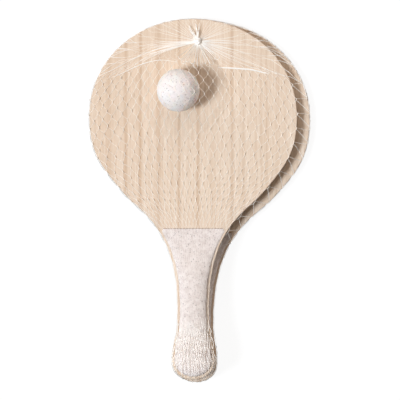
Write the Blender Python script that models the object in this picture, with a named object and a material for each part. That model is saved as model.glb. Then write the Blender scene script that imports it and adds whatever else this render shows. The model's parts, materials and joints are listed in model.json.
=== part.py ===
# Two wooden beach paddles and a ball, packed flat in a net bag.
# Metres, +Z up, +Y towards the blade tips, +X to the right, standing on z = 0.

import math

import bmesh
import bpy
import numpy as np
from mathutils import Matrix, Vector
from mathutils.geometry import interpolate_bezier

# Paddle outline, measured from the butt end along the paddle
LENGTH = 0.380
BLADE_HALF_WIDTH = 0.1093
BLADE_WIDEST_AT = 0.2775
FLARE_HALF_WIDTH = 0.0726
FLARE_AT = 0.1956
FLARE_ANGLE = math.radians(49.3)
NECK_HALF_WIDTH = 0.0163
NECK_AT = 0.0765
BUTT_HALF_WIDTH = 0.0222
BUTT_WIDEST_AT = 0.0190
PIVOT_FROM_BUTT = 0.020

# Lengths of the outline's curve handles
TIP_HANDLE = 0.063
WIDEST_UPPER_HANDLE = 0.056
WIDEST_LOWER_HANDLE = 0.037
FLARE_UPPER_HANDLE = 0.0405
FLARE_LOWER_HANDLE = 0.024
NECK_UPPER_HANDLE = 0.083
NECK_LOWER_HANDLE = 0.040
BUTT_UPPER_HANDLE = 0.026
BUTT_LOWER_HANDLE = 0.0105
END_HANDLE = 0.0135

# Plywood
PLY_COUNT = 5
PLY_THICKNESS = 0.00132
GLUE_LINE = 0.0001
BLADE_THICKNESS = PLY_COUNT * PLY_THICKNESS + (PLY_COUNT - 1) * GLUE_LINE
EASED_EDGE = 0.0005

# Grip pads
PAD_TOP_AT = 0.1582
PAD_END_AT = 0.0030
PAD_FULL_FROM = 0.100
PAD_ROUND_FROM = 0.024
PAD_THICKNESS = 0.0075
PAD_THIN_END = 0.0015
PAD_INSET = 0.0026
PAD_CORNER = 0.0030
PAD_GLUE_GAP = 0.0003
PAD_BUTT_THICKNESS_SHARE = 0.35
PAD_BUTT_WIDTH_SHARE = 0.30
PAD_BUTT_POWER = 2.2
PAD_EDGE_SHARE = 0.14
CROWN_POWER = 2.2
CROWN_ROUND = 0.60
COVER_POWER = 3.6

# Stack: the tips meet and the pads hold the handles apart
STACK_GAP = 0.0004
FAN_ANGLE = math.radians(2.45)
LOWER_SHIFT_X = 0.0027
LOWER_SHIFT_Y = -0.0018
WEDGE = math.asin(PAD_THICKNESS / (LENGTH - PAD_FULL_FROM))

# Ball on the upper blade
BALL_RADIUS = 0.0225
BALL_X = -0.0158
BALL_FROM_TIP = 0.0778
BALL_GAP = 0.0003

# Net bag and its knot
STRAND = 0.0008
NET_LIFT = 0.0013
NET_SIDE = 0.0019
BALL_NET_LIFT = 0.0021
BALL_STRAND_CUTS = 2
BALL_BEND_SHARE = 1.4
CORNER_SPARE = 0.0007
SHORTEST_STRAND = 0.0025
BEND_OVER = 0.009
TENT_REACH = 0.052
GRIP_NET_EASE = 0.030
BUTT_NET_EASE = 0.012
GRIP_NET_SWELL = 1.10
KNOT_X = 0.005
KNOT_FROM_TIP = 0.0237
KNOT_RADIUS = 0.0034
KNOT_HEIGHT = 0.0050
KNOT_RING = 0.0075
CREASE_FROM_TIP = 0.047
UPPER_COLUMNS = 12
UPPER_ROWS = 17
FAN_ROWS = 4
LOWER_COLUMNS = 8
LOWER_ROWS = 14
FOOT_CORNER_AT = 0.013
REST_GAP = 0.0004
REST_HEIGHT = STRAND + REST_GAP

TIP_Y = LENGTH - PIVOT_FROM_BUTT
FACE = BLADE_THICKNESS / 2


def smooth(t):
    t = min(max(t, 0.0), 1.0)
    return t * t * (3 - 2 * t)


# Materials

def make_material(name, colour, roughness):
    material = bpy.data.materials.new(name)
    material.use_nodes = True
    shader = material.node_tree.nodes["Principled BSDF"]
    shader.inputs["Base Color"].default_value = (*colour, 1.0)
    shader.inputs["Roughness"].default_value = roughness
    shader.inputs["Metallic"].default_value = 0.0
    return material


def add_object(name, bm, material, parent, soft_angle=None):
    mesh = bpy.data.meshes.new(name)
    bmesh.ops.recalc_face_normals(bm, faces=bm.faces[:])
    bm.to_mesh(mesh)
    bm.free()
    if soft_angle is not None:
        mesh.shade_smooth()
        mesh.set_sharp_from_angle(angle=soft_angle)
    mesh.materials.append(material)
    part = bpy.data.objects.new(name, mesh)
    part.parent = parent
    bpy.context.collection.objects.link(part)
    return part


def add_frame(name, parent, location=(0, 0, 0), rotation=(0, 0, 0)):
    frame = bpy.data.objects.new(name, None)
    frame.parent = parent
    frame.location = location
    frame.rotation_euler = rotation
    bpy.context.collection.objects.link(frame)
    return frame


# Outline of a paddle, with the pivot at the origin

def right_side(detail):
    tip = Vector((0, LENGTH))
    widest = Vector((BLADE_HALF_WIDTH, BLADE_WIDEST_AT))
    flare = Vector((FLARE_HALF_WIDTH, FLARE_AT))
    inward = Vector((-math.cos(FLARE_ANGLE), -math.sin(FLARE_ANGLE)))
    neck = Vector((NECK_HALF_WIDTH, NECK_AT))
    butt = Vector((BUTT_HALF_WIDTH, BUTT_WIDEST_AT))
    end = Vector((0, 0))
    along = Vector((0, 1))
    across = Vector((1, 0))
    stretches = [
        (tip, tip + TIP_HANDLE * across, widest + WIDEST_UPPER_HANDLE * along, widest, 12),
        (widest, widest - WIDEST_LOWER_HANDLE * along, flare - FLARE_UPPER_HANDLE * inward, flare, 8),
        (flare, flare + FLARE_LOWER_HANDLE * inward, neck + NECK_UPPER_HANDLE * along, neck, 9),
        (neck, neck - NECK_LOWER_HANDLE * along, butt + BUTT_UPPER_HANDLE * along, butt, 5),
        (butt, butt - BUTT_LOWER_HANDLE * along, end + END_HANDLE * across, end, 6),
    ]
    points = [tip]
    for start, start_handle, stop_handle, stop, steps in stretches:
        curve = interpolate_bezier(start, start_handle, stop_handle, stop, steps * detail + 1)
        points += [Vector(point[:2]) for point in curve[1:]]
    return [Vector((point.x, point.y - PIVOT_FROM_BUTT)) for point in points]


def outline(detail):
    right = right_side(detail)
    left = [Vector((-point.x, point.y)) for point in right[1:-1]]
    return np.array([tuple(point) for point in right[::-1] + left])


FINE_RIGHT = np.array([tuple(point) for point in right_side(5)])
FINE_OUTLINE = outline(5)


def half_width(y):
    return float(np.interp(-y, -FINE_RIGHT[:, 1], FINE_RIGHT[:, 0]))


# Plies: sheets of the outline, the two outer ones with an eased edge

def ply_bmesh(bottom, top, eased_side):
    bm = bmesh.new()
    ring = [bm.verts.new((x, y, bottom)) for x, y in outline(1)]
    base = bm.faces.new(ring)
    sheet = bmesh.ops.extrude_face_region(bm, geom=[base], use_keep_orig=True)
    raised = [item for item in sheet["geom"] if isinstance(item, bmesh.types.BMVert)]
    bmesh.ops.translate(bm, verts=raised, vec=(0, 0, top - bottom))
    if eased_side:
        level = top if eased_side > 0 else bottom
        rim = [e for e in bm.edges if all(abs(v.co.z - level) < 1e-6 for v in e.verts)]
        bmesh.ops.bevel(bm, geom=rim, offset=EASED_EDGE, segments=1, profile=0.5, affect='EDGES', material=-1)
    return bm


def add_plies(owner, parent, along_wood, cross_wood):
    names = ["bottom_veneer", "bottom_cross_ply", "core_ply", "top_cross_ply", "top_veneer"]
    for index, name in enumerate(names):
        bottom = -FACE + index * (PLY_THICKNESS + GLUE_LINE)
        eased_side = {"bottom_veneer": -1, "top_veneer": 1}.get(name, 0)
        wood = cross_wood if "cross" in name else along_wood
        add_object(f"{owner}_{name}", ply_bmesh(bottom, bottom + PLY_THICKNESS, eased_side), wood, parent)


# Grip pads: thin and straight towards the blade, crowned along the handle, round at the butt

def butt_round(from_butt, least):
    run = max(0.0, (PAD_ROUND_FROM - from_butt) / (PAD_ROUND_FROM - PAD_END_AT))
    return least + (1 - least) * math.sqrt(max(0.0, 1 - run ** PAD_BUTT_POWER))


def pad_thickness(from_butt):
    rise = smooth((PAD_TOP_AT - from_butt) / (PAD_TOP_AT - PAD_FULL_FROM))
    thickness = PAD_THIN_END + (PAD_THICKNESS - PAD_THIN_END) * rise
    return thickness * butt_round(from_butt, PAD_BUTT_THICKNESS_SHARE)


def pad_half_width(from_butt):
    width = half_width(from_butt - PIVOT_FROM_BUTT) - PAD_INSET
    if from_butt < PAD_ROUND_FROM:
        # the butt's own outline, drawn in by the inset
        along = PAD_ROUND_FROM * (from_butt - PAD_END_AT) / (PAD_ROUND_FROM - PAD_END_AT)
        full = half_width(PAD_ROUND_FROM - PIVOT_FROM_BUTT)
        share = max(half_width(along - PIVOT_FROM_BUTT) / full, PAD_BUTT_WIDTH_SHARE)
        width = share * (full - PAD_INSET)
    return width - PAD_CORNER * max(0.0, (from_butt - PAD_TOP_AT + PAD_CORNER) / PAD_CORNER)


def crown(share, thickness):
    fullness = max(0.0, 1 - abs(share) ** CROWN_POWER) ** CROWN_ROUND
    return thickness * (PAD_EDGE_SHARE + (1 - PAD_EDGE_SHARE) * fullness)


def pad_stations(steps):
    rising = np.linspace(PAD_TOP_AT, PAD_FULL_FROM, steps + 1)
    level = np.linspace(PAD_FULL_FROM, PAD_ROUND_FROM, steps + 1)
    rounded = PAD_ROUND_FROM - (PAD_ROUND_FROM - PAD_END_AT) * np.sin(np.linspace(0, math.pi / 2, steps + 3))
    return [PAD_TOP_AT, PAD_TOP_AT - PAD_CORNER, *rising[1:], *level[1:], *rounded[1:]]


def pad_bmesh(side):
    bm = bmesh.new()
    shares = [math.sin(math.radians(angle)) for angle in range(-90, 91, 18)]
    foot = FACE + PAD_GLUE_GAP
    rows = []
    for station in pad_stations(4):
        wide = pad_half_width(station)
        thick = pad_thickness(station)
        y = station - PIVOT_FROM_BUTT
        row = [bm.verts.new((-wide, y, side * foot))]
        row += [bm.verts.new((s * wide, y, side * (foot + crown(s, thick - PAD_GLUE_GAP)))) for s in shares]
        row.append(bm.verts.new((wide, y, side * foot)))
        rows.append(row)
    for row, following in zip(rows, rows[1:]):
        for k in range(len(row) - 1):
            bm.faces.new((row[k], row[k + 1], following[k + 1], following[k]))
        bm.faces.new((row[-1], row[0], following[0], following[-1]))
    bm.faces.new(rows[0])
    bm.faces.new(rows[-1])
    return bm


def add_pads(owner, parent, material):
    for name, side in (("top_grip_pad", 1), ("bottom_grip_pad", -1)):
        add_object(f"{owner}_{name}", pad_bmesh(side), material, parent, math.radians(40))


# Net bag: a diamond mesh laid out flat, then folded over the stack

def signed_distance(loop, points):
    step = np.roll(loop, -1, axis=0) - loop
    offset = points[:, None, :] - loop[None, :, :]
    along = np.clip((offset * step).sum(2) / (step * step).sum(1), 0, 1)
    foot = loop + along[..., None] * step
    away = points[:, None, :] - foot
    gap = np.hypot(away[..., 0], away[..., 1])
    best = gap.argmin(1)
    rows = np.arange(len(points))
    edge = step[best]
    inside = edge[:, 0] * away[rows, best, 1] - edge[:, 1] * away[rows, best, 0] > 0
    outward = np.stack((edge[:, 1], -edge[:, 0]), axis=1) / np.hypot(edge[:, 0], edge[:, 1])[:, None]
    return np.where(inside, -gap[rows, best], gap[rows, best]), foot[rows, best], outward


def turned(loop, angle, shift):
    spin = np.array(((math.cos(angle), -math.sin(angle)), (math.sin(angle), math.cos(angle))))
    return loop @ spin.T + np.array(shift)


def ball_tent(reach_from_ball):
    radius = BALL_RADIUS + BALL_NET_LIFT
    height = BALL_RADIUS + BALL_GAP - NET_LIFT
    span = math.hypot(TENT_REACH, height)
    slope = math.atan2(height, TENT_REACH) + math.asin(radius / span)
    length = math.sqrt(span ** 2 - radius ** 2)
    touch = TENT_REACH - length * math.cos(slope)
    if reach_from_ball < touch:
        return height + math.sqrt(radius ** 2 - reach_from_ball ** 2)
    return max(0.0, (TENT_REACH - reach_from_ball) * math.tan(slope))


def grip_cover(x, y):
    from_butt = y + PIVOT_FROM_BUTT
    thickness = pad_thickness(max(from_butt, min(from_butt + BUTT_NET_EASE, PAD_ROUND_FROM)))
    if from_butt > PAD_TOP_AT - GRIP_NET_EASE / 2:
        ease_from = PAD_TOP_AT - GRIP_NET_EASE / 2
        ease_to = PAD_TOP_AT + GRIP_NET_EASE
        thickness = pad_thickness(ease_from) * max(0.0, (ease_to - from_butt) / (ease_to - ease_from))
    wide = half_width(max(y, PAD_ROUND_FROM - PIVOT_FROM_BUTT)) + NET_SIDE
    fullness = max(0.0, 1 - abs(x / wide) ** COVER_POWER) ** (1 / COVER_POWER)
    return thickness * GRIP_NET_SWELL * fullness


class UpperCover:
    outer_side = 1
    butt_cuts = 3
    loop = FINE_OUTLINE
    other = turned(FINE_OUTLINE, -FAN_ANGLE, (LOWER_SHIFT_X, LOWER_SHIFT_Y))
    equator = STACK_GAP / 2 + STRAND

    def top(self, y):
        return STACK_GAP / 2 + BLADE_THICKNESS + (TIP_Y - y) * math.tan(WEDGE) + NET_LIFT

    def rim(self, y):
        return self.top(y)

    def edge(self, y):
        return self.equator

    def from_ball(self, x, y):
        return math.hypot(x - BALL_X, y - TIP_Y + BALL_FROM_TIP)

    def near_ball(self, x, y):
        return self.from_ball(x, y) < BALL_BEND_SHARE * BALL_RADIUS

    def height(self, x, y):
        return self.top(y) + max(ball_tent(self.from_ball(x, y)), grip_cover(x, y))


class LowerCover:
    outer_side = 0
    butt_cuts = 1
    loop = turned(FINE_OUTLINE, 0, (LOWER_SHIFT_X, LOWER_SHIFT_Y))
    other = turned(FINE_OUTLINE, FAN_ANGLE, (0, 0))
    pivot_height = REST_HEIGHT + BLADE_THICKNESS + STACK_GAP / 2 + TIP_Y * math.sin(2 * WEDGE)

    def rim(self, y):
        return STRAND / 2

    def edge(self, y):
        return self.pivot_height - y * math.tan(2 * WEDGE) - STACK_GAP / 2 - STRAND

    def near_ball(self, x, y):
        return False

    def height(self, x, y):
        return STRAND / 2


def wall_width(cover, foot):
    depth, _, _ = signed_distance(cover.other, foot)
    reach = np.maximum(0.0, -depth)
    drop = np.array([cover.edge(y) - cover.rim(y) for y in foot[:, 1]])
    return reach, drop, np.hypot(reach, drop)


def spread_along(cover, start_y, side_of_tip, count):
    """Points on the outline between the two sides at start_y, round the tip or round the butt."""
    loop = cover.loop
    centre = loop[:, 0].mean()
    ends = loop[:, 1] > start_y if side_of_tip else loop[:, 1] < start_y
    part = loop[ends]
    order = np.argsort(np.arctan2(part[:, 0] - centre, (part[:, 1] - start_y) * (1 if side_of_tip else -1)))
    part = part[order]
    run = np.concatenate(([0], np.cumsum(np.hypot(*np.diff(part, axis=0).T))))
    at = np.linspace(0, run[-1], count + 1)
    return np.stack((np.interp(at, run, part[:, 0]), np.interp(at, run, part[:, 1])), axis=1)


def pushed_out(cover, foot):
    _, _, outward = signed_distance(cover.loop, foot)
    return foot + outward * wall_width(cover, foot)[2][:, None]


def side_points(cover, y):
    loop = cover.loop
    centre = loop[:, 0].mean()
    sides = []
    for side in (-1, 1):
        part = loop[(loop[:, 0] - centre) * side > 0]
        part = part[np.argsort(part[:, 1])]
        sides.append((np.interp(y, part[:, 1], part[:, 0]), y))
    return pushed_out(cover, np.array(sides))


def row_points(cover, columns, share, top_y):
    """One row of the body of the bag, from its left edge to its right edge."""
    bottom_y = FOOT_CORNER_AT - PIVOT_FROM_BUTT
    left, right = side_points(cover, bottom_y + (top_y - bottom_y) * share)
    return left + (right - left) * np.linspace(0, 1, columns + 1)[:, None]


def body_rows(cover, columns, rows, top_y):
    foot_arc = pushed_out(cover, spread_along(cover, FOOT_CORNER_AT - PIVOT_FROM_BUTT, False, columns))
    grid = [foot_arc]
    for j in range(1, rows + 1):
        grid.append(row_points(cover, columns, j / rows, top_y))
    grid[1] = (grid[0] + grid[2]) / 2
    return grid


def diamonds(spot, exists, columns, rows):
    """A bmesh with a vertex at every even crossing and a face round every odd one."""
    bm = bmesh.new()
    made = {}

    def vertex(i, j):
        key = spot(i, j)[0]
        if key not in made:
            made[key] = bm.verts.new((*spot(i, j)[1], 0))
        return made[key]

    for j in range(rows + 1):
        for i in range(columns):
            if (i + j) % 2 == 0 or not exists(i, j):
                continue
            around = [(i - 1, j), (i, j - 1), (i + 1, j), (i, j + 1)]
            around = [place for place in around if exists(*place)]
            if len(around) > 2:
                bm.faces.new([vertex(*place) for place in around])
    return bm


def rim_corners(bm, cover):
    """Gives every strand that crosses the rim a vertex there, and returns those vertices."""
    bm.verts.index_update()
    depth, _, _ = signed_distance(cover.loop, np.array([vert.co[:2] for vert in bm.verts]))
    corners = set()
    crossing = []
    for edge in bm.edges:
        first, last = edge.verts
        if depth[first.index] * depth[last.index] >= 0:
            continue
        share = depth[first.index] / (depth[first.index] - depth[last.index])
        spare = SHORTEST_STRAND / edge.calc_length()
        if share < spare:
            corners.add(first)
        elif share > 1 - spare:
            corners.add(last)
        else:
            crossing.append((edge, first, share))
    for edge, first, share in crossing:
        if not corners.intersection(edge.verts):
            corners.add(bmesh.utils.edge_split(edge, first, share)[1])
    return corners


def bend_strands(bm, cover):
    """Cuts the strands that have to follow the ball or the rounded rim."""
    middles = [(edge.verts[0].co + edge.verts[1].co) / 2 for edge in bm.edges]
    depth, _, _ = signed_distance(cover.loop, np.array([middle[:2] for middle in middles]))
    over_ball = [edge for edge, middle in zip(bm.edges, middles) if cover.near_ball(middle.x, middle.y)]
    round_rim = []
    round_butt = []
    for edge, middle, outside in zip(bm.edges, middles, depth):
        if middle.y < PAD_ROUND_FROM - PIVOT_FROM_BUTT:
            round_butt.append(edge)
        elif outside > 0 and edge.calc_length() > BEND_OVER:
            round_rim.append(edge)
    bmesh.ops.bisect_edges(bm, edges=over_ball, cuts=BALL_STRAND_CUTS)
    bmesh.ops.bisect_edges(bm, edges=round_rim, cuts=1)
    bmesh.ops.bisect_edges(bm, edges=round_butt, cuts=cover.butt_cuts)


def fold(bm, cover):
    """Folds the flat mesh over the stack."""
    bend_strands(bm, cover)
    corners = rim_corners(bm, cover)
    flat = np.array([vert.co[:2] for vert in bm.verts])
    depth, foot, outward = signed_distance(cover.loop, flat)
    reach, drop, width = wall_width(cover, foot)
    for k, vert in enumerate(bm.verts):
        x, y = flat[k]
        if depth[k] <= 0 and vert not in corners:
            vert.co = (x, y, cover.height(x, y))
            continue
        share = 0.0 if vert in corners else min(1.0, depth[k] / width[k])
        spare = CORNER_SPARE if vert in corners else 0.0
        place = foot[k] + outward[k] * (NET_SIDE + spare + share * reach[k])
        vert.co = (*place, cover.rim(foot[k][1]) + cover.outer_side * spare + share * drop[k])


def strands(bm):
    """Turns every edge into a strand: all but the narrowest faces are inset, opened and made thick."""
    bmesh.ops.recalc_face_normals(bm, faces=bm.faces[:])
    openings = [face for face in bm.faces if 2 * face.calc_area() / face.calc_perimeter() > STRAND]
    bmesh.ops.inset_individual(bm, faces=openings, thickness=STRAND / 2, use_even_offset=True)
    bmesh.ops.delete(bm, geom=openings, context='FACES_ONLY')
    bm.normal_update()
    for vert in bm.verts:
        vert.co -= vert.normal * STRAND / 2
    bmesh.ops.solidify(bm, geom=bm.faces[:], thickness=-STRAND)
    return bm


def upper_net():
    cover = UpperCover()
    columns = UPPER_COLUMNS
    crease_y = TIP_Y - CREASE_FROM_TIP
    front = body_rows(cover, columns, UPPER_ROWS, crease_y)
    over_tip = pushed_out(cover, spread_along(cover, crease_y, True, columns))
    over_tip[0] = front[-1][0]
    over_tip[-1] = front[-1][-1]
    knot = np.array((KNOT_X, TIP_Y - KNOT_FROM_TIP))

    def spot(i, j):
        i = i % (2 * columns)
        if j <= UPPER_ROWS and i <= columns:
            return (i, j), front[j][i]
        start = front[-1][i] if i <= columns else over_tip[2 * columns - i]
        inward = (start - knot) / np.hypot(*(start - knot))
        share = (j - UPPER_ROWS) / FAN_ROWS
        return (i, j), start + (knot + inward * KNOT_RING - start) * share

    def exists(i, j):
        if not 0 <= j <= UPPER_ROWS + FAN_ROWS:
            return False
        return j >= UPPER_ROWS or 0 <= i <= columns

    bm = diamonds(spot, exists, 2 * columns, UPPER_ROWS + FAN_ROWS)
    fold(bm, cover)
    return strands(bm)


def lower_net():
    cover = LowerCover()
    columns = LOWER_COLUMNS
    crease_y = TIP_Y - CREASE_FROM_TIP
    rows = body_rows(cover, columns, LOWER_ROWS, crease_y)
    over_tip = pushed_out(cover, spread_along(cover, crease_y, True, columns))
    rise = over_tip - rows[-1]

    def spot(i, j):
        return (i, j), rows[j][i] + rise[i] * (j / LOWER_ROWS) ** 2

    def exists(i, j):
        return 0 <= i <= columns and 0 <= j <= LOWER_ROWS

    bm = diamonds(spot, exists, columns + 1, LOWER_ROWS)
    fold(bm, cover)
    strands(bm)
    for vert in bm.verts:
        vert.co.z = max(vert.co.z, 0.0)
    return bm


# Ball and knot

def ball_bmesh():
    bm = bmesh.new()
    bmesh.ops.create_uvsphere(bm, u_segments=28, v_segments=16, radius=BALL_RADIUS)
    return bm


def knot_bmesh():
    bm = bmesh.new()
    squash = Matrix.Diagonal((KNOT_RADIUS, KNOT_RADIUS, KNOT_HEIGHT / 2, 1))
    bmesh.ops.create_uvsphere(bm, u_segments=14, v_segments=8, radius=1, matrix=squash)
    return bm


def centre_on_origin(root):
    bpy.context.view_layer.update()
    corners = []
    for part in bpy.data.objects:
        if part.type == 'MESH':
            corners += [part.matrix_world @ vert.co for vert in part.data.vertices]
    low = Vector([min(corner[axis] for corner in corners) for axis in range(3)])
    high = Vector([max(corner[axis] for corner in corners) for axis in range(3)])
    middle = (low + high) / 2
    root.location = (root.location.x - middle.x, root.location.y - middle.y, root.location.z - low.z)
    bpy.context.view_layer.update()


# Assembly

for old in list(bpy.data.objects):
    bpy.data.objects.remove(old, do_unlink=True)

face_wood = make_material("face_wood", (0.78, 0.64, 0.51), 0.55)
cross_wood = make_material("cross_wood", (0.66, 0.50, 0.36), 0.65)
grip_foam = make_material("grip_foam", (0.78, 0.70, 0.66), 0.75)
ball_foam = make_material("ball_foam", (0.83, 0.78, 0.76), 0.70)
net_plastic = make_material("net_plastic", (0.88, 0.86, 0.82), 0.45)
knot_plastic = make_material("knot_plastic", (0.90, 0.89, 0.86), 0.45)

set_heading = add_frame("set_heading", None, rotation=(0, 0, -FAN_ANGLE))
stack_plane = add_frame("stack_plane", set_heading, (0, 0, LowerCover.pivot_height), (-2 * WEDGE, 0, 0))
fan_pivot = add_frame("fan_pivot", stack_plane, rotation=(0, 0, FAN_ANGLE))
frame_height = STACK_GAP / 2 + TIP_Y * math.sin(WEDGE) + FACE * math.cos(WEDGE)
upper_frame = add_frame("upper_frame", fan_pivot, (0, 0, frame_height), (-WEDGE, 0, 0))
lower_place = (LOWER_SHIFT_X, LOWER_SHIFT_Y, -frame_height)
lower_frame = add_frame("lower_frame", stack_plane, lower_place, (WEDGE, 0, 0))
ball_height = FACE + BALL_GAP + BALL_RADIUS
ball_pivot = add_frame("ball_pivot", upper_frame, (BALL_X, TIP_Y - BALL_FROM_TIP, ball_height))
knot_height = FACE + BALL_GAP + KNOT_HEIGHT / 2
knot_frame = add_frame("knot_frame", upper_frame, (KNOT_X, TIP_Y - KNOT_FROM_TIP, knot_height))

for owner, frame in (("upper_paddle", upper_frame), ("lower_paddle", lower_frame)):
    add_plies(owner, frame, face_wood, cross_wood)
    add_pads(owner, frame, grip_foam)
add_object("ball", ball_bmesh(), ball_foam, ball_pivot, math.radians(40))
add_object("net_upper_half", upper_net(), net_plastic, fan_pivot)
add_object("net_lower_half", lower_net(), net_plastic, set_heading)
add_object("net_knot", knot_bmesh(), knot_plastic, knot_frame, math.radians(40))
centre_on_origin(set_heading)
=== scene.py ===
import json
import math

import bmesh
import bpy
import numpy as np
from mathutils import Matrix, Vector, noise


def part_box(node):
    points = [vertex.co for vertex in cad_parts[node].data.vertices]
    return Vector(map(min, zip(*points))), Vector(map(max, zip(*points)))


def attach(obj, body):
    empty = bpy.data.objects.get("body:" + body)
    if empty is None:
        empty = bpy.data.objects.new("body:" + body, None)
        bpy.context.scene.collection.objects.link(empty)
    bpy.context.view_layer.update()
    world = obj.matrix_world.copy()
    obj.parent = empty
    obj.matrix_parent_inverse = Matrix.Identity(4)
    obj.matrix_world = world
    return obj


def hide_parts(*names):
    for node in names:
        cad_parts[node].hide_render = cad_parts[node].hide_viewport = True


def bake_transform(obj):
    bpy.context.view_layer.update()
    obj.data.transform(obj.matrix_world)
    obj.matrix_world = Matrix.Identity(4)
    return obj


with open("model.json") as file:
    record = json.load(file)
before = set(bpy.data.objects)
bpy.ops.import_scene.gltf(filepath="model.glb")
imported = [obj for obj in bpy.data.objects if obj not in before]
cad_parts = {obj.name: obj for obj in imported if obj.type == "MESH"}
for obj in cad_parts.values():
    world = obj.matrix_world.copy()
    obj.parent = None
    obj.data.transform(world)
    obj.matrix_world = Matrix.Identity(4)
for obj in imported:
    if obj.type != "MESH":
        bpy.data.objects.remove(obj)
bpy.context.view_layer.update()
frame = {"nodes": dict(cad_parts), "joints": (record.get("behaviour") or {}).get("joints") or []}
print("frame loaded,", len(frame["nodes"]), "nodes")


# small helpers

def smooth(t):
    t = np.clip(t, 0.0, 1.0)
    return t * t * (3 - 2 * t)


def between(low, high, share):
    return low + (high - low) * share


def scatter(k, turn):
    # a repeatable number from -1 to 1
    return math.sin(k * turn)


def addObject(name, data):
    made = bpy.data.objects.new(name, data)
    bpy.context.scene.collection.objects.link(made)
    return made


def addPiece(name, mesh, material, body, stoodFor=(), sharpFrom=35):
    mesh.name = name
    mesh.materials.clear()
    mesh.materials.append(material)
    mesh.shade_smooth()
    mesh.set_sharp_from_angle(angle=math.radians(sharpFrom))
    piece = addObject(name, mesh)
    if body:
        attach(piece, body)
    if stoodFor:
        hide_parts(*stoodFor)
    return piece


def meshFrom(bm):
    bmesh.ops.recalc_face_normals(bm, faces=bm.faces[:])
    mesh = bpy.data.meshes.new("made")
    bm.to_mesh(mesh)
    bm.free()
    return mesh


def rounded(bm, edges, offset, steps):
    bmesh.ops.bevel(bm, geom=edges, offset=offset, segments=steps, profile=0.5, affect='EDGES',
                    material=-1, clamp_overlap=True)


def tubes(paths, radius, roundness=1, taper=None, flat=1.0):
    # one strand for each path, round or pressed flat; taper gives the share of the radius along it
    curve = bpy.data.curves.new("line", 'CURVE')
    curve.dimensions = '3D'
    curve.bevel_depth = radius
    curve.bevel_resolution = roundness
    curve.use_fill_caps = True
    for path in paths:
        spline = curve.splines.new('POLY')
        spline.points.add(len(path) - 1)
        for k, (point, place) in enumerate(zip(spline.points, path)):
            point.co = (place[0], place[1], place[2] / flat, 1.0)
            if taper:
                point.radius = taper(k / (len(path) - 1))
    line = addObject("line", curve)
    bpy.context.view_layer.update()
    mesh = bpy.data.meshes.new_from_object(line.evaluated_get(bpy.context.evaluated_depsgraph_get()))
    bpy.data.objects.remove(line)
    mesh.transform(Matrix.Diagonal((1.0, 1.0, flat, 1.0)))
    return mesh


# where a paddle lies, read from its middle ply: x across, y from butt to tip, z up from mid thickness

def spotsOf(node):
    return np.array([tuple(vert.co) for vert in frame["nodes"][node].data.vertices])


def readPaddle(owner):
    points = np.unique(np.round(spotsOf(owner + "_core_ply"), 6), axis=0)
    middle = points.mean(axis=0)
    along, across, up = np.linalg.svd(points - middle, full_matrices=False)[2]
    along = along * np.sign(along[1])
    up = up * np.sign(up[2])
    across = np.cross(along, up)
    axes = np.array((across, along, up))
    local = (points - middle) @ axes.T
    butt = local[:, 1].min()
    place = Matrix.Translation(middle + along * butt) @ Matrix(axes.T.tolist()).to_4x4()
    local[:, 1] -= butt
    right = local[(local[:, 0] >= -1e-5) & (local[:, 2] > 0)]
    right = right[np.argsort(right[:, 1])]
    face = toLocal(place, spotsOf(owner + "_top_veneer"))[:, 2].max()
    outline = np.r_[right[:, :2], right[-2:0:-1, :2] * (-1, 1)]
    return {"owner": owner, "place": place, "right": right[:, :2], "outline": outline,
            "length": local[:, 1].max(), "face": face}


def halfWidth(paddle, y):
    return np.interp(y, paddle["right"][:, 1], paddle["right"][:, 0])


def toRow(place, points):
    points = np.asarray(points, float)
    turn = np.array(place)
    return points @ turn[:3, :3].T + turn[:3, 3]


def toLocal(place, points):
    return toRow(place.inverted(), points)


upper = readPaddle("upper_paddle")
lower = readPaddle("lower_paddle")
fan = [joint for joint in frame["joints"] if joint["name"] == "paddle_fan"][0]
fanPos = np.array(fan["pos_m"])
fanAxis = np.array(fan["axis"])
print("paddles read, length", round(upper["length"], 4))


# material helpers

def startMaterial(name):
    material = bpy.data.materials.new(name)
    material.use_nodes = True
    tree = material.node_tree
    return material, tree, tree.nodes["Principled BSDF"]


def setInputs(tree, node, inputs):
    # a socket is linked, and a plain value is set
    for key, value in inputs.items():
        if isinstance(value, bpy.types.NodeSocket):
            tree.links.new(value, node.inputs[key])
        else:
            node.inputs[key].default_value = value


def addNode(tree, kind, inputs, **settings):
    made = tree.nodes.new("ShaderNode" + kind)
    for key, value in settings.items():
        setattr(made, key, value)
    setInputs(tree, made, inputs)
    return made


def mathNode(tree, operation, first, second=0.0, third=0.0):
    return addNode(tree, "Math", {0: first, 1: second, 2: third}, operation=operation).outputs[0]


def rangeNode(tree, value, fromLow, fromHigh, toLow=0.0, toHigh=1.0):
    inputs = {"Value": value, "From Min": fromLow, "From Max": fromHigh, "To Min": toLow, "To Max": toHigh}
    return addNode(tree, "MapRange", inputs, interpolation_type='SMOOTHSTEP').outputs["Result"]


def times(tree, first, second):
    return mathNode(tree, 'MULTIPLY', first, second)


def mixColour(tree, share, *pair):
    first, second = (tint if isinstance(tint, bpy.types.NodeSocket) else (*tint, 1.0) for tint in pair)
    return addNode(tree, "Mix", {0: share, 6: first, 7: second}, data_type='RGBA').outputs[2]


def noiseNode(tree, vector, scale, detail=3.0, rough=0.5):
    inputs = {"Vector": vector, "Scale": scale, "Detail": detail, "Roughness": rough}
    return addNode(tree, "TexNoise", inputs).outputs["Fac"]


def addBump(tree, shader, height, strength, distance):
    bump = addNode(tree, "Bump", {"Strength": strength, "Distance": distance, "Height": height})
    setInputs(tree, shader, {"Normal": bump.outputs[0]})


def paint(tree, shader, colour, rough, shine=0.5):
    setInputs(tree, shader, {"Base Color": colour, "Roughness": rough, "Specular IOR Level": shine})


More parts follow.
